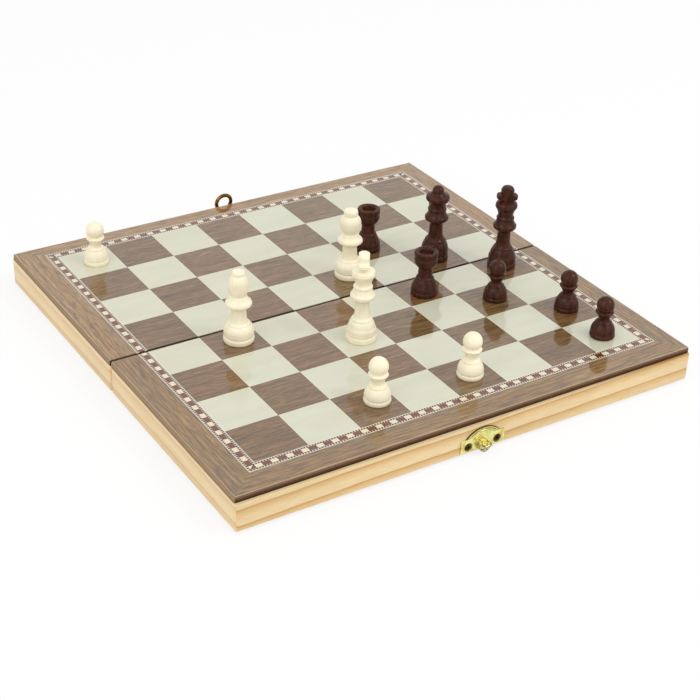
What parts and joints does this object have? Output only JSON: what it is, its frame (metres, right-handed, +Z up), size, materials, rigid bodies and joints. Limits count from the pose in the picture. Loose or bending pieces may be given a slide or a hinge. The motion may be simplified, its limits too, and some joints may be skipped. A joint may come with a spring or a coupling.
{
  "type": "folding wooden games box with chess set",
  "caption": "Folding wooden games box lying open with its chess board uppermost, turned chessmen on it, trays below, a brass catch in front and a hasp ring behind.",
  "frame": {"origin": "middle of the whole open box in X and Y, at the underside of the fold hinges' knuckles, which the box stands on together with its rims", "axes": "+X along the fold to the right, +Y from the catch to the hasp, +Z up out of the chess board"},
  "size_m": [0.29, 0.298, 0.0755],
  "materials": {
    "pine": "smooth sanded softwood, clear sealed",
    "brown_panel_edge": "dark brown painted plywood edge, rounded over",
    "walnut_veneer": "walnut veneer under gloss lacquer",
    "cream_veneer": "pale veneer under gloss lacquer",
    "ebony_stringing": "black and white checked line under gloss lacquer",
    "red_mosaic": "reddish brown wood tiles under gloss lacquer",
    "cream_mosaic": "cream wood tiles under gloss lacquer",
    "tray_lining": "plain veneer, satin",
    "pale_turned_wood": "turned pale wood, satin",
    "dark_turned_wood": "turned wood stained dark brown, glossy",
    "brass": "bright brass plating",
    "brass_screws": "brass plating, slightly dull"
  },
  "bodies": {
    "front_half": {"front_wall": "pine", "front_left_rail": "pine", "front_right_rail": "pine", "front_fold_rail": "pine", "front_panel": "brown_panel_edge", "front_lining": "tray_lining", "front_dark_points": "walnut_veneer", "front_light_points": "cream_veneer", "front_dark_squares": "walnut_veneer", "front_light_squares": "cream_veneer", "front_stringing": "ebony_stringing", "front_red_tiles": "red_mosaic", "front_cream_tiles": "cream_mosaic", "front_border": "walnut_veneer", "front_hinge_leaves": "brass", "hinge_pins": "brass", "front_hinge_screws": "brass_screws", "catch_plate": "brass", "catch_boss": "brass", "catch_screws": "brass_screws"},
    "rear_half": {"rear_wall": "pine", "rear_left_rail": "pine", "rear_right_rail": "pine", "rear_fold_rail": "pine", "rear_panel": "brown_panel_edge", "rear_lining": "tray_lining", "rear_dark_points": "walnut_veneer", "rear_light_points": "cream_veneer", "rear_dark_squares": "walnut_veneer", "rear_light_squares": "cream_veneer", "rear_stringing": "ebony_stringing", "rear_red_tiles": "red_mosaic", "rear_cream_tiles": "cream_mosaic", "rear_border": "walnut_veneer", "rear_hinge_leaves": "brass", "rear_hinge_screws": "brass_screws", "hasp_plate": "brass", "hasp_pin": "brass", "hasp_screws": "brass_screws"},
    "hasp": {"hasp_ring": "brass"},
    "white_king": {"white_king": "pale_turned_wood"},
    "white_bishop_near": {"white_bishop_near": "pale_turned_wood"},
    "white_bishop_far": {"white_bishop_far": "pale_turned_wood"},
    "white_pawn_near": {"white_pawn_near": "pale_turned_wood"},
    "white_pawn_right": {"white_pawn_right": "pale_turned_wood"},
    "white_pawn_far": {"white_pawn_far": "pale_turned_wood"},
    "dark_king": {"dark_king": "dark_turned_wood"},
    "dark_queen": {"dark_queen": "dark_turned_wood"},
    "dark_rook_near": {"dark_rook_near": "dark_turned_wood"},
    "dark_rook_far": {"dark_rook_far": "dark_turned_wood"},
    "dark_pawn_inner": {"dark_pawn_inner": "dark_turned_wood"},
    "dark_pawn_middle": {"dark_pawn_middle": "dark_turned_wood"},
    "dark_pawn_outer": {"dark_pawn_outer": "dark_turned_wood"}
  },
  "joints": [
    {"name": "fold", "type": "hinge", "parent": "front_half", "child": "rear_half", "pos_m": [0, 0.0011, 0.00125], "axis": [-1, 0, 0], "range_deg": [0, 180]},
    {"name": "hasp_swing", "type": "hinge", "parent": "rear_half", "child": "hasp", "pos_m": [0.001, 0.1475, 0.00965], "axis": [-1, 0, 0], "range_deg": [0, 185.4]},
    {"name": "white_king_lift", "type": "slide", "parent": "front_half", "child": "white_king", "axis": [0, 0, 1], "range_m": [0, 0.06]},
    {"name": "white_bishop_near_lift", "type": "slide", "parent": "front_half", "child": "white_bishop_near", "axis": [0, 0, 1], "range_m": [0, 0.06]},
    {"name": "white_bishop_far_lift", "type": "slide", "parent": "rear_half", "child": "white_bishop_far", "axis": [0, 0, 1], "range_m": [0, 0.06]},
    {"name": "white_pawn_near_lift", "type": "slide", "parent": "front_half", "child": "white_pawn_near", "axis": [0, 0, 1], "range_m": [0, 0.06]},
    {"name": "white_pawn_right_lift", "type": "slide", "parent": "front_half", "child": "white_pawn_right", "axis": [0, 0, 1], "range_m": [0, 0.06]},
    {"name": "white_pawn_far_lift", "type": "slide", "parent": "rear_half", "child": "white_pawn_far", "axis": [0, 0, 1], "range_m": [0, 0.06]},
    {"name": "dark_king_lift", "type": "slide", "parent": "front_half", "child": "dark_king", "axis": [0, 0, 1], "range_m": [0, 0.06]},
    {"name": "dark_queen_lift", "type": "slide", "parent": "rear_half", "child": "dark_queen", "axis": [0, 0, 1], "range_m": [0, 0.06]},
    {"name": "dark_rook_near_lift", "type": "slide", "parent": "front_half", "child": "dark_rook_near", "axis": [0, 0, 1], "range_m": [0, 0.06]},
    {"name": "dark_rook_far_lift", "type": "slide", "parent": "rear_half", "child": "dark_rook_far", "axis": [0, 0, 1], "range_m": [0, 0.06]},
    {"name": "dark_pawn_inner_lift", "type": "slide", "parent": "front_half", "child": "dark_pawn_inner", "axis": [0, 0, 1], "range_m": [0, 0.06]},
    {"name": "dark_pawn_middle_lift", "type": "slide", "parent": "front_half", "child": "dark_pawn_middle", "axis": [0, 0, 1], "range_m": [0, 0.06]},
    {"name": "dark_pawn_outer_lift", "type": "slide", "parent": "front_half", "child": "dark_pawn_outer", "axis": [0, 0, 1], "range_m": [0, 0.06]}
  ]
}
